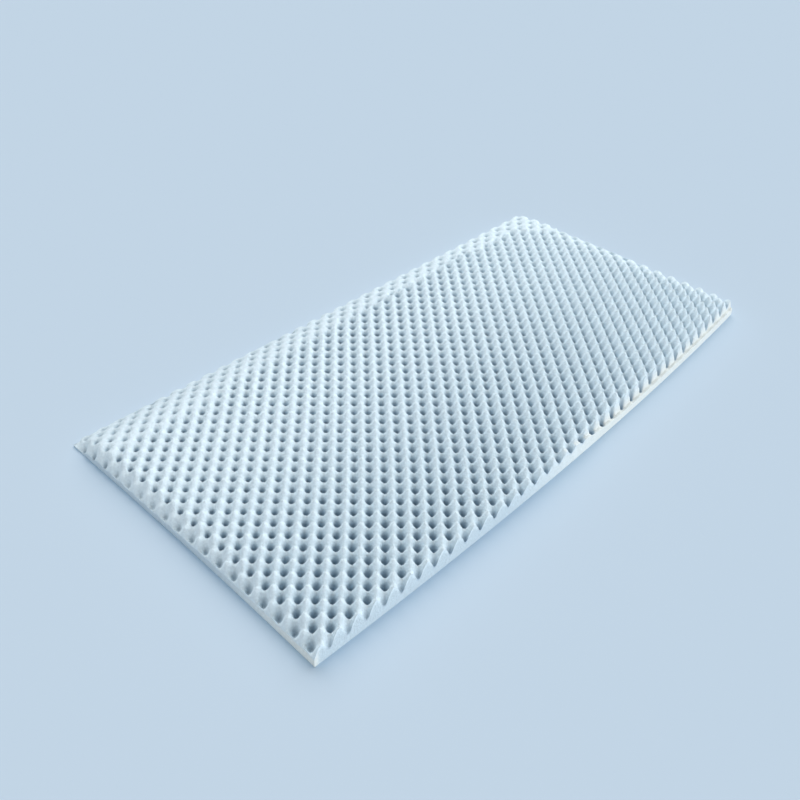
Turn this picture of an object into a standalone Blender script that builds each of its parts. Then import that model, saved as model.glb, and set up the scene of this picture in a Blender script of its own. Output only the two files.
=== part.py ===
# An egg-crate foam mattress topper, lying face up on its flat underside.
# The slab is one piece of bare foam. Its top is a lattice of peaks and pits, its two ends and two long
# sides are cut straight, and behind the full pits runs a strip of low pillows that droops to the back cut.
# Units are metres, with +X along the slab, +Y towards its back and the underside at z = 0.

from math import cos, pi, sin

import bmesh
import bpy

# Driving dimensions
PITCH = 0.0508              # from one peak to the next along a row
RELIEF = 0.90               # from the bottom of a pit up to a full peak, in pitches
BASE = 0.42                 # foam left under a pit, in pitches
BRIM = BASE + 0.58 * RELIEF # level of the brims between the pits
BACK_PEAKS = 0.55           # height of the peaks at the back over the brims, as a share of a full one
RIGHT_PEAKS = 0.35          # the same for the last peaks at the right end
END_DROP = (0.40, 0.60)     # how far the rounded left end comes down, at the front and the back, in pitches
LEAST_HEIGHT = 0.12         # the thinnest the foam gets, in pitches
END_DEPTH = (0.60, 0.25)    # depth of the first pits at the left end, at the front and the back
FRONT_DEPTH = (0.80, 1.00)  # depth of the pits that the front cut opens, at the left and right ends
RIB_SHARE = (0.10, 0.12)    # how much the peaks join into diagonal ribs, at the left and right ends
LIP_HEIGHT = 0.50           # the shelf left along the front cut, in pitches
LIP_WIDTH = 0.34            # in rows
LIP_RISE = 2.2              # climb behind the shelf, in pitches a row
FOAM_COLOUR = (0.70, 0.80, 0.86, 1.0)
FOAM_ROUGHNESS = 0.95

# The strip of low pillows along the back
STRIP_START = 13.55         # row it starts at, at the left end
PILLOW_RISE = 0.12          # top of a pillow over the brims, in pitches
PILLOW_HEIGHT = 0.33        # in pitches
BACK_DROOP = (0.80, 0.15)   # drop at the back cut, at the left and right ends, in pitches
DROOP_RUN = 6.0             # rows over which it comes down

# Places are counted in half pitches from the middle of the slab, columns along X and rows along Y.
# There is a peak where column + row is even and a pit where it is odd.
HALF_PITCH = PITCH / 2
HALF_LENGTH, HALF_WIDTH = 36, 18.4
CELLS_ALONG, CELLS_ACROSS = 74, 42      # whole cells, reaching past the cuts on every side
MERGE_DISTANCE = 0.05                   # points closer than this are made one, in half pitches

# Each cut crosses the middle at one place and slants by so much for each row or column.
CUTS = {
    "left": (-35.4, 0.01),
    "right": (35.5, 0.03),
    "front": (-17.4, -0.4 / 36),
    "back": (17.85, -2.1 / 36),
}

# The slab lies a little bowed in plan. Each line moves a point by so many pitches, times the powers of
# its place along (-1 to 1) and across (-1 to 1) that the line names.
PLAN_BOW = (
    # along, across, shift in x, shift in y
    (2, 0, 0.221, 0.342),
    (1, 1, -0.174, 0.126),
    (0, 2, -0.099, -0.046),
    (3, 0, -0.095, 0.021),
    (2, 1, 0.0, -0.219),
    (0, 3, 0.0, -0.098),
)


def smooth_step(value, start, end):
    share = min(max((value - start) / (end - start), 0.0), 1.0)
    return share * share * (3 - 2 * share)


def mix(pair, share):
    return pair[0] + (pair[1] - pair[0]) * share


def cut_place(side, other):
    """Column of an end cut at a row, or row of a long cut at a column."""
    place, slant = CUTS[side]
    return place + slant * other


def strip_start(column):
    """Row behind which the full pits give way to the low pillows."""
    start = STRIP_START + 0.9 * smooth_step(column, -21, -19)
    return start - smooth_step(column, 20, 23) - 4.5 * smooth_step(column, 30, 35)


def full_height(column, row):
    """Height over the brims where the peaks and pits are full, in pitches."""
    backward = smooth_step(row, -13, 11)
    rib = mix(RIB_SHARE, smooth_step(column + 0.5 * row, -20, 25))
    wave = cos(pi * column) * cos(pi * row) + rib * sin(pi * column) * sin(pi * row)
    if wave > 0:
        peak = (BASE + RELIEF - BRIM) * mix((1, BACK_PEAKS), backward)
        return wave * peak * mix((1, RIGHT_PEAKS), smooth_step(column, 32.3, 34.6))
    end_depth = mix(END_DEPTH, backward)
    front_depth = mix(FRONT_DEPTH, smooth_step(column, -10, 4))
    depth = mix((end_depth, 1), smooth_step(column, -35.4, -33.8))
    depth *= mix((front_depth, 1), smooth_step(row - cut_place("front", column), 0, 1.1))
    return wave * (BRIM - BASE) * depth


def pillow_height(column, row):
    wave = cos(pi * column) * cos(pi * row)
    return PILLOW_RISE - PILLOW_HEIGHT * ((1 - wave) / 2) ** 3


def top_height(column, row):
    """Height of the foam's top at a place in the lattice, in metres."""
    in_strip = row > strip_start(column)
    height = pillow_height(column, row) if in_strip else full_height(column, row)
    droop_at_cut = mix(BACK_DROOP[::-1], max(0.5 - column / 71, 0) ** 1.5)
    from_back = min(max(cut_place("back", column) - row, 0), DROOP_RUN)
    droop = droop_at_cut * (1 - from_back / DROOP_RUN) ** 2.4
    droop += mix(END_DROP, smooth_step(row, -6, 8)) * (1 - smooth_step(column, -35.6, -34.1))
    behind_lip = max(row - cut_place("front", column) - LIP_WIDTH, 0)
    cut_height = LIP_HEIGHT + LIP_RISE * behind_lip + 1 - smooth_step(column, -10, 8)
    return PITCH * max(min(BRIM + height - droop, cut_height), LEAST_HEIGHT)


def pair_height(pair):
    return sum(top_height(*vert.co.xy) for vert in pair)


def plan_place(column, row):
    """Position in plan of a place in the lattice, with the slab's bow."""
    along, across = column / HALF_LENGTH, row / HALF_WIDTH
    x, y = column * HALF_PITCH, row * HALF_PITCH
    for along_power, across_power, shift_x, shift_y in PLAN_BOW:
        weight = PITCH * along ** along_power * across ** across_power
        x += shift_x * weight
        y += shift_y * weight
    return x, y


def spread_lattice(mesh):
    """Lay a grid with its points on whole columns and rows."""
    bmesh.ops.create_grid(mesh, x_segments=CELLS_ALONG, y_segments=CELLS_ACROSS, size=1)
    for vert in mesh.verts:
        vert.co.x = round(vert.co.x * CELLS_ALONG / 2)
        vert.co.y = round(vert.co.y * CELLS_ACROSS / 2)


def split_cells(mesh):
    """Give each cell its saddle point, or in the back strip a crease between its two dimples."""
    strip_cells, full_cells = [], []
    for face in mesh.faces:
        middle = face.calc_center_median()
        cells = strip_cells if middle.y > strip_start(middle.x) else full_cells
        cells.append(face)
    for face in strip_cells:
        corners = face.verts
        dimples = min((corners[0], corners[2]), (corners[1], corners[3]), key=pair_height)
        bmesh.ops.connect_verts(mesh, verts=dimples)
    bmesh.ops.poke(mesh, faces=full_cells)


def cut_sides(mesh):
    """Trim the grid along the four straight cuts."""
    for side, (place, slant) in CUTS.items():
        if side in ("left", "right"):
            point, outward = (place, 0, 0), (1, -slant, 0)
        else:
            point, outward = (0, place, 0), (-slant, 1, 0)
        if side in ("left", "front"):
            outward = tuple(-value for value in outward)
        everything = mesh.verts[:] + mesh.edges[:] + mesh.faces[:]
        bmesh.ops.bisect_plane(
            mesh, geom=everything, dist=MERGE_DISTANCE, plane_co=point, plane_no=outward, clear_outer=True
        )
    bmesh.ops.remove_doubles(mesh, verts=mesh.verts, dist=MERGE_DISTANCE)


def raise_top(mesh):
    for vert in mesh.verts:
        column, row = vert.co.xy
        vert.co = (*plan_place(column, row), top_height(column, row))


def close_below(mesh):
    """Drop the border straight down to the floor and fill the underside as one flat face."""
    border = [edge for edge in mesh.edges if edge.is_boundary]
    extruded = bmesh.ops.extrude_edge_only(mesh, edges=border)["geom"]
    for vert in extruded:
        if isinstance(vert, bmesh.types.BMVert):
            vert.co.z = 0
    underside = [edge for edge in extruded if isinstance(edge, bmesh.types.BMEdge) and edge.is_boundary]
    bmesh.ops.contextual_create(mesh, geom=underside)
    bmesh.ops.recalc_face_normals(mesh, faces=mesh.faces)


def centre_in_plan(mesh):
    xs = [vert.co.x for vert in mesh.verts]
    ys = [vert.co.y for vert in mesh.verts]
    middle = ((min(xs) + max(xs)) / 2, (min(ys) + max(ys)) / 2, 0)
    bmesh.ops.translate(mesh, verts=mesh.verts, vec=[-value for value in middle])


def foam_material():
    material = bpy.data.materials.new("foam")
    material.use_nodes = True
    shader = material.node_tree.nodes["Principled BSDF"]
    shader.inputs["Base Color"].default_value = FOAM_COLOUR
    shader.inputs["Roughness"].default_value = FOAM_ROUGHNESS
    shader.inputs["Metallic"].default_value = 0.0
    return material


def foam_slab(collection):
    mesh = bmesh.new()
    spread_lattice(mesh)
    split_cells(mesh)
    cut_sides(mesh)
    raise_top(mesh)
    close_below(mesh)
    centre_in_plan(mesh)
    data = bpy.data.meshes.new("foam_slab")
    mesh.to_mesh(data)
    mesh.free()
    data.materials.append(foam_material())
    slab = bpy.data.objects.new("foam_slab", data)
    collection.objects.link(slab)


def main():
    for old in list(bpy.data.objects):
        bpy.data.objects.remove(old)
    collection = bpy.data.collections.new("mattress_topper")
    bpy.context.scene.collection.children.link(collection)
    foam_slab(collection)


main()
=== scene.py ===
# A bare egg-crate foam mattress topper lying face up on a pale floor.
# Places on the slab are counted in half pitches from its middle, columns along X and rows along Y.
# A peak stands where column + row is even, and a pit lies where it is odd.
from math import cos, pi, radians, sin

import bmesh
import bpy
import numpy as np
from mathutils import Euler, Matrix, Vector


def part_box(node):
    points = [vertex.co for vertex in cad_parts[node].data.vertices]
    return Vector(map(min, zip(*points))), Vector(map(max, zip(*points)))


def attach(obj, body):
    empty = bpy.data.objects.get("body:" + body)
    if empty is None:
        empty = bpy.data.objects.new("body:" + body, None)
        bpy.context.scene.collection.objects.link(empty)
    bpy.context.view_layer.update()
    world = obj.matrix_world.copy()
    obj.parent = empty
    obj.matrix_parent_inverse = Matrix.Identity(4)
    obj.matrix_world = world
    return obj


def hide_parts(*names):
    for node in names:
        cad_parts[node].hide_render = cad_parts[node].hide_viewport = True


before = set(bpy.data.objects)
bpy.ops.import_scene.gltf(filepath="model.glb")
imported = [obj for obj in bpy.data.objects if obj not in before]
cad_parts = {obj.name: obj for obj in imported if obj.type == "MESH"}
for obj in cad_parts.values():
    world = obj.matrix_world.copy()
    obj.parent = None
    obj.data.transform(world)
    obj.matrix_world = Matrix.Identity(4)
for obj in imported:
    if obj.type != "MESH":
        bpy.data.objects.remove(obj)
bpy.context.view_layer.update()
print("frame loaded:", sorted(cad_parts))

# Heights are in pitches. A name that ends in Columns or Rows says where a change starts and ends,
# and where a change has two values they are the ones before and after it.
foamSlab = {
    "pitch": 0.0508,                  # metres from one peak to the next along a row
    "relief": 0.90,                   # peak above pit
    "base": 0.42,                     # foam under a pit
    "brim": 0.58,                     # level of the brims, as a share of the relief
    "leastHeight": 0.12,              # the thinnest the foam gets
    "backRows": (-13, 11),            # between the front of the slab and its back
    "stepsAcross": 214,               # mesh squares across the slab
    "stepsAlong": 428,
    "sideRings": 4,
    "sharpAngle": 55,                 # degrees, where the shading breaks
}

# The four straight cuts: where each crosses the middle, and how it slants.
cuts = {
    "left": {"middle": -35.4, "slant": 0.01},
    "right": {"middle": 35.5, "slant": 0.03},
    "front": {"middle": -17.4, "slant": -0.0111},
    "back": {"middle": 17.85, "slant": -0.0583},
}


def smoothStep(value, start, end):
    share = np.clip((value - start) / (end - start), 0, 1)
    return share * share * (3 - 2 * share)


def mixed(pair, share):
    return pair[0] + (pair[1] - pair[0]) * share


def frontCut(column):
    return cuts["front"]["middle"] + cuts["front"]["slant"] * column


def backCut(column):
    return cuts["back"]["middle"] + cuts["back"]["slant"] * column


# The slab lies slightly bowed. A point moves by so many pitches, times its place along and across it
# (-1 to 1) raised to these powers.
planBow = {
    "halfLength": 36,
    "halfWidth": 18.4,
    "terms": [
        {"along": 2, "across": 0, "shiftX": 0.221, "shiftY": 0.342},
        {"along": 1, "across": 1, "shiftX": -0.174, "shiftY": 0.126},
        {"along": 0, "across": 2, "shiftX": -0.099, "shiftY": -0.046},
        {"along": 3, "across": 0, "shiftX": -0.095, "shiftY": 0.021},
        {"along": 2, "across": 1, "shiftX": 0.0, "shiftY": -0.219},
        {"along": 0, "across": 3, "shiftX": 0.0, "shiftY": -0.098},
    ],
}


def planPlace(column, row):
    pitch = foamSlab["pitch"]
    along = column / planBow["halfLength"]
    across = row / planBow["halfWidth"]
    x = column * pitch / 2
    y = row * pitch / 2
    for term in planBow["terms"]:
        weight = pitch * along ** term["along"] * across ** term["across"]
        x = x + term["shiftX"] * weight
        y = y + term["shiftY"] * weight
    return x, y


foamPeaks = {
    "point": 1.15,                    # above 1 they are more pointed, over flatter brims
    "share": (1.0, 0.55),             # height at the front and the back, as a share of a full peak
    "rightLoss": 0.65,                # how much of their height the last ones lose at the right end
    "rightLossColumns": (32.3, 34.6),
    "ribShare": (0.10, 0.15),         # how much they join into ribs along the diagonal
    "ribColumns": (-20, 25),
    "ribSlant": 0.5,                  # columns that this change moves left for each row
}


def latticeWave(column, row):
    # 1 on a peak, -1 in a pit and near 0 on the brims
    ribPlace = column + foamPeaks["ribSlant"] * row
    ribShare = mixed(foamPeaks["ribShare"], smoothStep(ribPlace, *foamPeaks["ribColumns"]))
    ribs = np.sin(pi * column) * np.sin(pi * row)
    return np.cos(pi * column) * np.cos(pi * row) + ribShare * ribs


def peakRise(column, row):
    # how far the peaks rise from the brims, as a share of the relief
    share = mixed(foamPeaks["share"], smoothStep(row, *foamSlab["backRows"]))
    rightward = smoothStep(column, *foamPeaks["rightLossColumns"])
    share = share * (1 - foamPeaks["rightLoss"] * rightward)
    rise = np.clip(latticeWave(column, row), 0, 1) ** foamPeaks["point"]
    return (1 - foamSlab["brim"]) * rise * share


foamPits = {
    "steepness": 1.7,                 # above 1 they are steeper under their brims
    "narrowness": (1.45, 2.2),        # at the front, and behind it at the left; higher is narrower
    "slimness": 1.5,                  # how much narrower along the slab than across it they get there
    "leftRows": (-14, 6),             # rows over which they get so
    "leftColumns": (-28, 0),          # columns over which this fades to the right
    "leftLoss": 0.75,                 # how much of it is gone at the last of these
    "frontDepth": (0.80, 1.0),        # of the pits that the front cut opens, as a share of a full one
    "frontColumns": (-10, 4),
    "frontReach": 1.1,                # rows behind the cut over which they reach their full depth
    "endDepth": (0.60, 0.25),         # of the first pits at the left end, at the front and the back
    "endColumns": (-35.4, -33.8),
}


def pitDepth(column, row):
    # 0 on the brims and 1 at the bottom of a full pit
    endShare = mixed(foamPits["endDepth"], smoothStep(row, *foamSlab["backRows"]))
    depth = endShare + (1 - endShare) * smoothStep(column, *foamPits["endColumns"])
    frontShare = mixed(foamPits["frontDepth"], smoothStep(column, *foamPits["frontColumns"]))
    behindCut = smoothStep(row - frontCut(column), 0, foamPits["frontReach"])
    depth = depth * (frontShare + (1 - frontShare) * behindCut)
    leftness = smoothStep(row, *foamPits["leftRows"])
    leftness = leftness * (1 - foamPits["leftLoss"] * smoothStep(column, *foamPits["leftColumns"]))
    inward = np.clip(-latticeWave(column, row), 0, 1) ** mixed(foamPits["narrowness"], leftness)
    inward = inward * np.abs(np.cos(pi * column)) ** (foamPits["slimness"] * leftness)
    return (1 - (1 - inward) ** foamPits["steepness"]) * depth


# Behind the full pits runs a strip of low pillows, which droops to the back cut.
backStrip = {
    "start": 13.55,                   # row it starts at, at the left end
    "startSteps": [                   # how that row changes to the right
        {"shift": 0.9, "columns": (-21, -19)},
        {"shift": -1.0, "columns": (20, 23)},
        {"shift": -4.5, "columns": (30, 35)},
    ],
    "blend": 0.35,                    # rows over which the pits turn into pillows
    "stretch": 0.0021,                # how the pillows spread out along the strip
    "stretchStart": -12,
    "slant": 0.06,                    # their drift towards the front, in rows per column
    "slantStart": 2,
    "pillowRise": 0.12,               # top of a pillow over the brims of the full pits
    "pillowHeight": 0.33,
    "dimpleNarrowness": 3.0,
    "paintedDimpleShade": 0.85,               # painted shade in the dimples beside a full pit
    "droop": (0.15, 0.80),            # drop at the back cut, at the right and the left ends
    "droopLength": 71,                # columns over which this changes
    "droopBend": 1.5,                 # above 1 the drop fades sooner to the right
    "droopRun": 6.0,                  # rows over which it comes down
    "droopCurl": 2.4,                 # above 1 it comes down mostly at the cut
}


def pillowField(column, row):
    # height over the brims of the full pits, and the painted shade in the dimples
    stretched = np.clip(column - backStrip["stretchStart"], 0, None) ** 2
    drifted = np.clip(column - backStrip["slantStart"], 0, None)
    ownColumn = column - backStrip["stretch"] * stretched
    ownRow = row + backStrip["slant"] * drifted
    wave = np.cos(pi * ownColumn) * np.cos(pi * ownRow)
    dip = ((1 - wave) / 2) ** backStrip["dimpleNarrowness"]
    height = backStrip["pillowRise"] - backStrip["pillowHeight"] * dip
    return height, backStrip["paintedDimpleShade"] * dip ** 2


def pillowShare(column, row):
    start = backStrip["start"]
    for step in backStrip["startSteps"]:
        start = start + step["shift"] * smoothStep(column, *step["columns"])
    return smoothStep(row, start, start + backStrip["blend"])


slabEnds = {
    "leftDrop": (0.40, 0.60),         # drop of the rounded left end, towards the back
    "leftDropRows": (-6, 8),
    "leftDropColumns": (-35.6, -34.1),
    "rightDrop": 0.12,
    "rightDropColumns": (34.2, 35.5),
}


def edgeDroop(column, row):
    # how far the top comes down towards the back cut and the two ends
    alongShare = np.clip((column - cuts["left"]["middle"]) / backStrip["droopLength"], 0, 1)
    droopAtCut = mixed(backStrip["droop"], (1 - alongShare) ** backStrip["droopBend"])
    fromBack = np.clip(backCut(column) - row, 0, backStrip["droopRun"])
    droop = droopAtCut * (1 - fromBack / backStrip["droopRun"]) ** backStrip["droopCurl"]
    fromRight = column - cuts["right"]["slant"] * row
    droop = droop + slabEnds["rightDrop"] * smoothStep(fromRight, *slabEnds["rightDropColumns"])
    leftDrop = mixed(slabEnds["leftDrop"], smoothStep(row, *slabEnds["leftDropRows"]))
    return droop + leftDrop * (1 - smoothStep(column, *slabEnds["leftDropColumns"]))


# The front cut leaves a low shelf, with the foam cut back at a slope behind it.
frontShelf = {
    "height": 0.50,
    "width": 0.34,                    # in rows
    "rise": 2.2,                      # climb behind the shelf, in pitches a row
    "columns": (-10, 8),              # where it begins; left of them the foam is not cut down
    "tintHeights": (-0.02, 0.06),     # how far the foam was cut down where the pale cut with its painted light shows
    "tintRows": (0, 0.3),
}

# The cut faces are painted paler where light falls on them: painted light to the right and at the left end,
# painted shade near the front left corner.
cutFaces = {
    "leastCutLight": 0.1,            # least painted light on the cut faces, near the front left corner, which is painted as shaded
    "cutLightColumns": (-14, 8),        # the painted light grows to the right between these
    "cutLightEndColumns": (-35.6, -35.0),
    "shade": 0.45,                    # how far the rest gets the painted pit shade
}

# The pits are painted darker with their depth, as painted shade in the recesses.
paintedPitShade = {
    "rightLoss": 0.40,                # how much of the painted shade the pits lose at the right
    "rightLossColumns": (2, 26),
    "cornerLoss": 0.2,                # and at the front left corner
    "cornerCounts": (30, 48),         # columns to the left and rows to the front together
}


def paintedCutLightShare(column):
    # painted light on the cut faces, as a share from 0 to 1
    rightward = smoothStep(column, *cutFaces["cutLightColumns"])
    leftEnd = 1 - smoothStep(column, *cutFaces["cutLightEndColumns"])
    return cutFaces["leastCutLight"] + (1 - cutFaces["leastCutLight"]) * (rightward + leftEnd)


def pitShadeShare(column, row, depth):
    # the painted pit shade: the depth, lessened at the right and at the front left corner
    rightward = smoothStep(column, *paintedPitShade["rightLossColumns"])
    cornerward = smoothStep(-column - row, *paintedPitShade["cornerCounts"])
    return depth * (1 - paintedPitShade["rightLoss"] * rightward) * (1 - paintedPitShade["cornerLoss"] * cornerward)


def foamTop(column, row):
    # height of the top in metres, the painted pit shade, and the painted light of a pale cut
    depth = pitDepth(column, row)
    height = foamSlab["relief"] * (peakRise(column, row) - foamSlab["brim"] * depth)
    # from here on the depth carries the painted pit shade
    depth = pitShadeShare(column, row, depth)
    pillows, dimpleShadeShare = pillowField(column, row)
    share = pillowShare(column, row)
    height = height + (pillows - height) * share
    depth = depth + (dimpleShadeShare - depth) * share
    brimHeight = foamSlab["base"] + foamSlab["relief"] * foamSlab["brim"]
    uncut = brimHeight + height - edgeDroop(column, row)
    behindShelf = np.clip(row - frontCut(column) - frontShelf["width"], 0, None)
    cutHeight = frontShelf["height"] + frontShelf["rise"] * behindShelf
    cutHeight = cutHeight + 1 - smoothStep(column, *frontShelf["columns"])
    onShelf = smoothStep(uncut - cutHeight, *frontShelf["tintHeights"])
    onShelf = onShelf * (1 - smoothStep(behindShelf, *frontShelf["tintRows"]))
    top = np.maximum(np.minimum(uncut, cutHeight), foamSlab["leastHeight"])
    return top * foamSlab["pitch"], depth, onShelf * paintedCutLightShare(column)


def latticeGrid(mesh):
    # a flat grid laid out in columns and rows between the four cuts
    alongSteps, acrossSteps = foamSlab["stepsAlong"], foamSlab["stepsAcross"]
    bmesh.ops.create_grid(mesh, x_segments=alongSteps, y_segments=acrossSteps, size=1)
    left, right = cuts["left"], cuts["right"]
    for vert in mesh.verts:
        alongShare = (vert.co.x + 1) / 2
        acrossShare = (vert.co.y + 1) / 2
        column = mixed((left["middle"], right["middle"]), alongShare)
        for settling in range(2):             # each cut slants, so column and row depend on each other
            row = mixed((frontCut(column), backCut(column)), acrossShare)
            first = left["middle"] + left["slant"] * row
            last = right["middle"] + right["slant"] * row
            column = mixed((first, last), alongShare)
        vert.co = (column, row, 0)


def raiseTop(mesh, shadeLayer, cutLightLayer):
    lattice = np.array([vert.co.xy for vert in mesh.verts])
    column, row = lattice[:, 0], lattice[:, 1]
    x, y = planPlace(column, row)
    z, depth, cutLightShare = foamTop(column, row)
    low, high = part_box("foam_slab")
    x += (low[0] + high[0]) / 2 - (x.min() + x.max()) / 2
    y += (low[1] + high[1]) / 2 - (y.min() + y.max()) / 2
    for index, vert in enumerate(mesh.verts):
        vert.co = (x[index], y[index], z[index])
        vert[shadeLayer] = depth[index]
        vert[cutLightLayer] = cutLightShare[index]


def closeSides(mesh, shadeLayer, cutLightLayer):
    # straight sides down to the floor in a few rings, and one flat face underneath
    rings = foamSlab["sideRings"]
    ring = [edge for edge in mesh.edges if edge.is_boundary]
    for left in range(rings, 0, -1):
        made = bmesh.ops.extrude_edge_only(mesh, edges=ring)["geom"]
        ring = [item for item in made if isinstance(item, bmesh.types.BMEdge) and item.is_boundary]
        for vert in [item for item in made if isinstance(item, bmesh.types.BMVert)]:
            vert.co.z *= (left - 1) / left
            # the sides carry the painted light of the cut, and painted pit shade where that light is less
            cutLight = min(1, paintedCutLightShare(2 * vert.co.x / foamSlab["pitch"]))
            vert[cutLightLayer] = cutLight
            vert[shadeLayer] = cutFaces["shade"] * (1 - cutLight)
    bmesh.ops.contextual_create(mesh, geom=ring)


def buildFoam():
    mesh = bmesh.new()
    latticeGrid(mesh)
    # painted pit shade and painted light on the cut faces, kept on the points for the material
    shadeLayer = mesh.verts.layers.float.new("pitDepth")
    cutLightLayer = mesh.verts.layers.float.new("paintedCutLight")
    raiseTop(mesh, shadeLayer, cutLightLayer)
    closeSides(mesh, shadeLayer, cutLightLayer)
    bmesh.ops.recalc_face_normals(mesh, faces=mesh.faces)
    for face in mesh.faces:
        face.smooth = True
    data = bpy.data.meshes.new("foamTopper")
    mesh.to_mesh(data)
    mesh.free()
    data.set_sharp_from_angle(angle=radians(foamSlab["sharpAngle"]))
    slab = bpy.data.objects.new("foamTopper", data)
    bpy.context.scene.collection.objects.link(slab)
    slab.data.materials.append(foamMaterial())
    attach(slab, "root")
    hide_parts("foam_slab")
    return slab


# The pit colour is painted shade and the cut colour painted light, both mixed over the foam's own peak
# colour.
foamFinish = {
    "peakColour": (0.62, 0.735, 0.805, 1),
    "pitShadeColour": (0.185, 0.28, 0.375, 1),
    "paintedCutLightColour": (0.70, 0.745, 0.735, 1),
    "paintedShadeDepths": (0.15, 1.0),         # depths between which the painted shade turns the foam from peak to pit colour
    "roughness": 0.95,
    "specular": 0.15,
    "mottleSize": 0.006,
    "mottleDetail": 3,
    "mottleRange": (0.86, 1.14),
    "cellSize": 0.005,
    "cellDepth": 0.0010,
}


def pointShare(tree, name):
    attribute = tree.nodes.new("ShaderNodeAttribute")
    attribute.attribute_name = name
    return attribute.outputs["Fac"]


def mappedValue(tree, value, start, end):
    ranged = tree.nodes.new("ShaderNodeMapRange")
    for name, number in zip(("From Min", "From Max", "To Min", "To Max"), start + end):
        ranged.inputs[name].default_value = number
    tree.links.new(value, ranged.inputs["Value"])
    return ranged.outputs["Result"]


def mixedColour(tree, share, first, second):
    # the first colour is a fixed one or comes from another node, the second is fixed
    mixer = tree.nodes.new("ShaderNodeMix")
    mixer.data_type = "RGBA"
    firstSocket, secondSocket = [socket for socket in mixer.inputs if socket.type == "RGBA"]
    secondSocket.default_value = second
    if isinstance(first, bpy.types.NodeSocket):
        tree.links.new(first, firstSocket)
    else:
        firstSocket.default_value = first
    tree.links.new(share, mixer.inputs["Factor"])
    return [socket for socket in mixer.outputs if socket.type == "RGBA"][0]


def foamMaterial():
    finish = foamFinish
    material = bpy.data.materials.new("openCellFoam")
    material.use_nodes = True
    tree = material.node_tree
    shader = tree.nodes["Principled BSDF"]
    shader.inputs["Roughness"].default_value = finish["roughness"]
    shader.inputs["Specular IOR Level"].default_value = finish["specular"]
    place = tree.nodes.new("ShaderNodeTexCoord").outputs["Object"]
    # painted pit shade, then painted light on the cut faces
    paintedShadeShare = mappedValue(tree, pointShare(tree, "pitDepth"), finish["paintedShadeDepths"], (0, 1))
    paintedLightColour = mixedColour(tree, paintedShadeShare, finish["peakColour"], finish["pitShadeColour"])
    paintedLightColour = mixedColour(tree, pointShare(tree, "paintedCutLight"), paintedLightColour, finish["paintedCutLightColour"])

    mottle = tree.nodes.new("ShaderNodeTexNoise")
    mottle.inputs["Scale"].default_value = 1 / finish["mottleSize"]
    mottle.inputs["Detail"].default_value = finish["mottleDetail"]
    tree.links.new(place, mottle.inputs["Vector"])
    mottled = tree.nodes.new("ShaderNodeVectorMath")
    mottled.operation = "SCALE"
    tree.links.new(paintedLightColour, mottled.inputs["Vector"])
    mottleShade = mappedValue(tree, mottle.outputs["Fac"], (0, 1), finish["mottleRange"])
    tree.links.new(mottleShade, mottled.inputs["Scale"])
    tree.links.new(mottled.outputs["Vector"], shader.inputs["Base Color"])

    cells = tree.nodes.new("ShaderNodeTexVoronoi")
    cells.inputs["Scale"].default_value = 1 / finish["cellSize"]
    tree.links.new(place, cells.inputs["Vector"])
    bump = tree.nodes.new("ShaderNodeBump")
    bump.inputs["Distance"].default_value = finish["cellDepth"]
    tree.links.new(cells.outputs["Distance"], bump.inputs["Height"])
    tree.links.new(bump.outputs["Normal"], shader.inputs["Normal"])
    return material


paleFloor = {
    "colour": (0.50, 0.63, 0.76, 1),
    "size": 30,
    "roughness": 1.0,
    "specular": 0.0,
}


def buildFloor():
    bpy.ops.mesh.primitive_plane_add(size=paleFloor["size"])
    floor = bpy.context.object
    floor.name = "floor"
    material = bpy.data.materials.new("paleFloor")
    material.use_nodes = True
    shader = material.node_tree.nodes["Principled BSDF"]
    shader.inputs["Base Color"].default_value = paleFloor["colour"]
    shader.inputs["Roughness"].default_value = paleFloor["roughness"]
    shader.inputs["Specular IOR Level"].default_value = paleFloor["specular"]
    floor.data.materials.append(material)
    return floor


# Soft suns stand round the slab, some lighting only the slab and two only the floor. Angles are in degrees.
studio = {
    "skyColour": (0.86, 0.94, 1.0, 1),
    "skyStrength": 0.10,
    "backdropColour": (0.54, 0.665, 0.79, 1),
    "slabSpread": 40,
    "slabSuns": [
        {"name": "backHigh", "azimuth": 45, "elevation": 52, "strength": 1.30},
        {"name": "frontLow", "azimuth": -90, "elevation": 22, "strength": 1.55},
        {"name": "rightLow", "azimuth": -45, "elevation": 22, "strength": 1.55},
        {"name": "leftHigh", "azimuth": 135, "elevation": 52, "strength": 0.42},
        {"name": "leftLow", "azimuth": 135, "elevation": 22, "strength": 0.62},
        {"name": "nearLow", "azimuth": 180, "elevation": 22, "strength": 0.45},
        {"name": "farLow", "azimuth": 0, "elevation": 22, "strength": 0.15},
        {"name": "backLow", "azimuth": 90, "elevation": 22, "strength": 0.30},
    ],
    "floorWarm": {
        "azimuth": 30, "elevation": 60, "strength": 3.54, "spread": 80, "colour": (1, 0.91, 0.85),
    },
    "floorCool": {
        "azimuth": 225, "elevation": 65, "strength": 0.6, "spread": 30, "colour": (0.1, 0.41, 0.6),
    },
    # the panel over the far end makes that end a little brighter than the near corner
    "panel": {"place": (2.2, 1.3, 2.6), "aim": (0.3, 0.1, 0), "size": 1.2, "power": 27},
}


def placeLight(light, towards, receiver):
    lamp = bpy.data.objects.new(light.name, light)
    bpy.context.scene.collection.objects.link(lamp)
    lamp.rotation_euler = towards.to_track_quat("Z", "Y").to_euler()
    lit = bpy.data.collections.new(light.name + "Lit")
    lit.objects.link(receiver)
    lamp.light_linking.receiver_collection = lit
    return lamp


def addSun(name, sun, spread, colour, receiver):
    light = bpy.data.lights.new(name, "SUN")
    light.angle = radians(spread)
    light.energy = sun["strength"]
    light.color = colour
    azimuth, elevation = radians(sun["azimuth"]), radians(sun["elevation"])
    flat = cos(elevation)
    placeLight(light, Vector((cos(azimuth) * flat, sin(azimuth) * flat, sin(elevation))), receiver)


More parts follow.
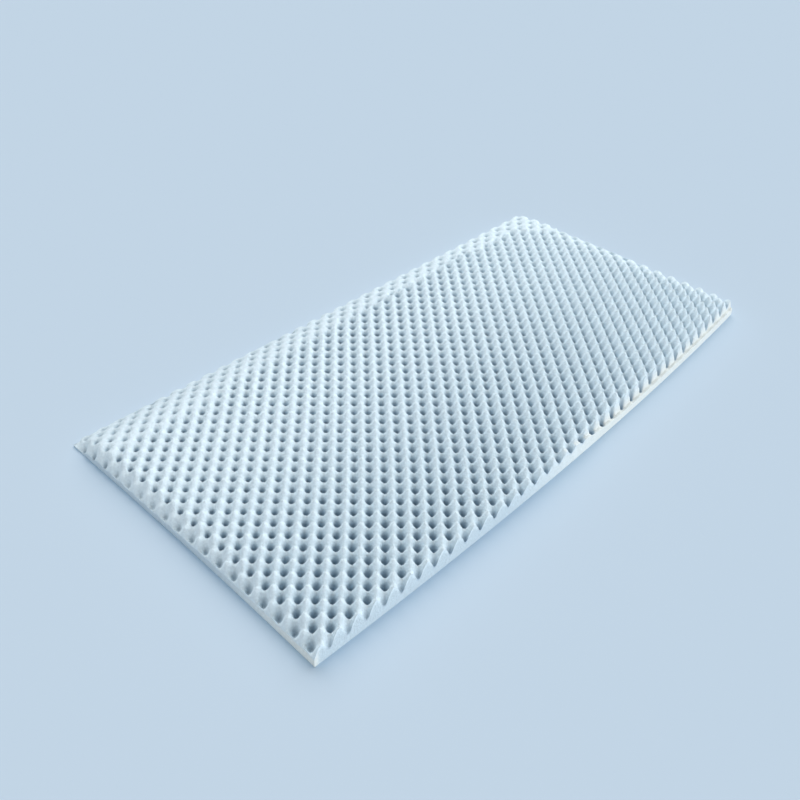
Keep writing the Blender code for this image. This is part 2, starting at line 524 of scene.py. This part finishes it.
def buildSky():
    world = bpy.data.worlds.new("studio")
    bpy.context.scene.world = world
    world.use_nodes = True
    tree = world.node_tree
    sky = tree.nodes["Background"]
    sky.inputs["Color"].default_value = studio["skyColour"]
    sky.inputs["Strength"].default_value = studio["skyStrength"]
    backdrop = tree.nodes.new("ShaderNodeBackground")      # seen past the floor, and lights nothing
    backdrop.inputs["Color"].default_value = studio["backdropColour"]
    rays = tree.nodes.new("ShaderNodeLightPath")
    either = tree.nodes.new("ShaderNodeMixShader")
    sources = rays.outputs["Is Camera Ray"], sky.outputs["Background"], backdrop.outputs["Background"]
    for source, socket in zip(sources, either.inputs):
        tree.links.new(source, socket)
    tree.links.new(either.outputs["Shader"], tree.nodes["World Output"].inputs["Surface"])


def buildLights(slab, floor):
    for sun in studio["slabSuns"]:
        addSun(sun["name"], sun, studio["slabSpread"], (1, 1, 1), slab)
    for name in ("floorWarm", "floorCool"):
        sun = studio[name]
        addSun(name, sun, sun["spread"], sun["colour"], floor)
    panel = studio["panel"]
    light = bpy.data.lights.new("panel", "AREA")
    light.shape = "SQUARE"
    light.size = panel["size"]
    light.energy = panel["power"]
    lamp = placeLight(light, Vector(panel["place"]) - Vector(panel["aim"]), slab)
    lamp.location = panel["place"]


cameraSetup = {
    "place": (-1.54704, -1.14926, 1.4531),
    "turn": (51.066, -2.184, -48.117),     # degrees about X, Y and Z
    "lens": 38.25,
    "sensor": 36,
}


def buildCamera():
    data = bpy.data.cameras.new("camera")
    data.sensor_width = cameraSetup["sensor"]
    data.lens = cameraSetup["lens"]
    camera = bpy.data.objects.new("camera", data)
    bpy.context.scene.collection.objects.link(camera)
    camera.location = cameraSetup["place"]
    camera.rotation_euler = Euler([radians(angle) for angle in cameraSetup["turn"]])
    bpy.context.scene.camera = camera


slab = buildFoam()
print("foam topper built:", len(slab.data.polygons), "faces")
floor = buildFloor()
buildSky()
buildLights(slab, floor)
buildCamera()
bpy.context.scene.view_settings.view_transform = "Standard"
print("floor, lights and camera set")
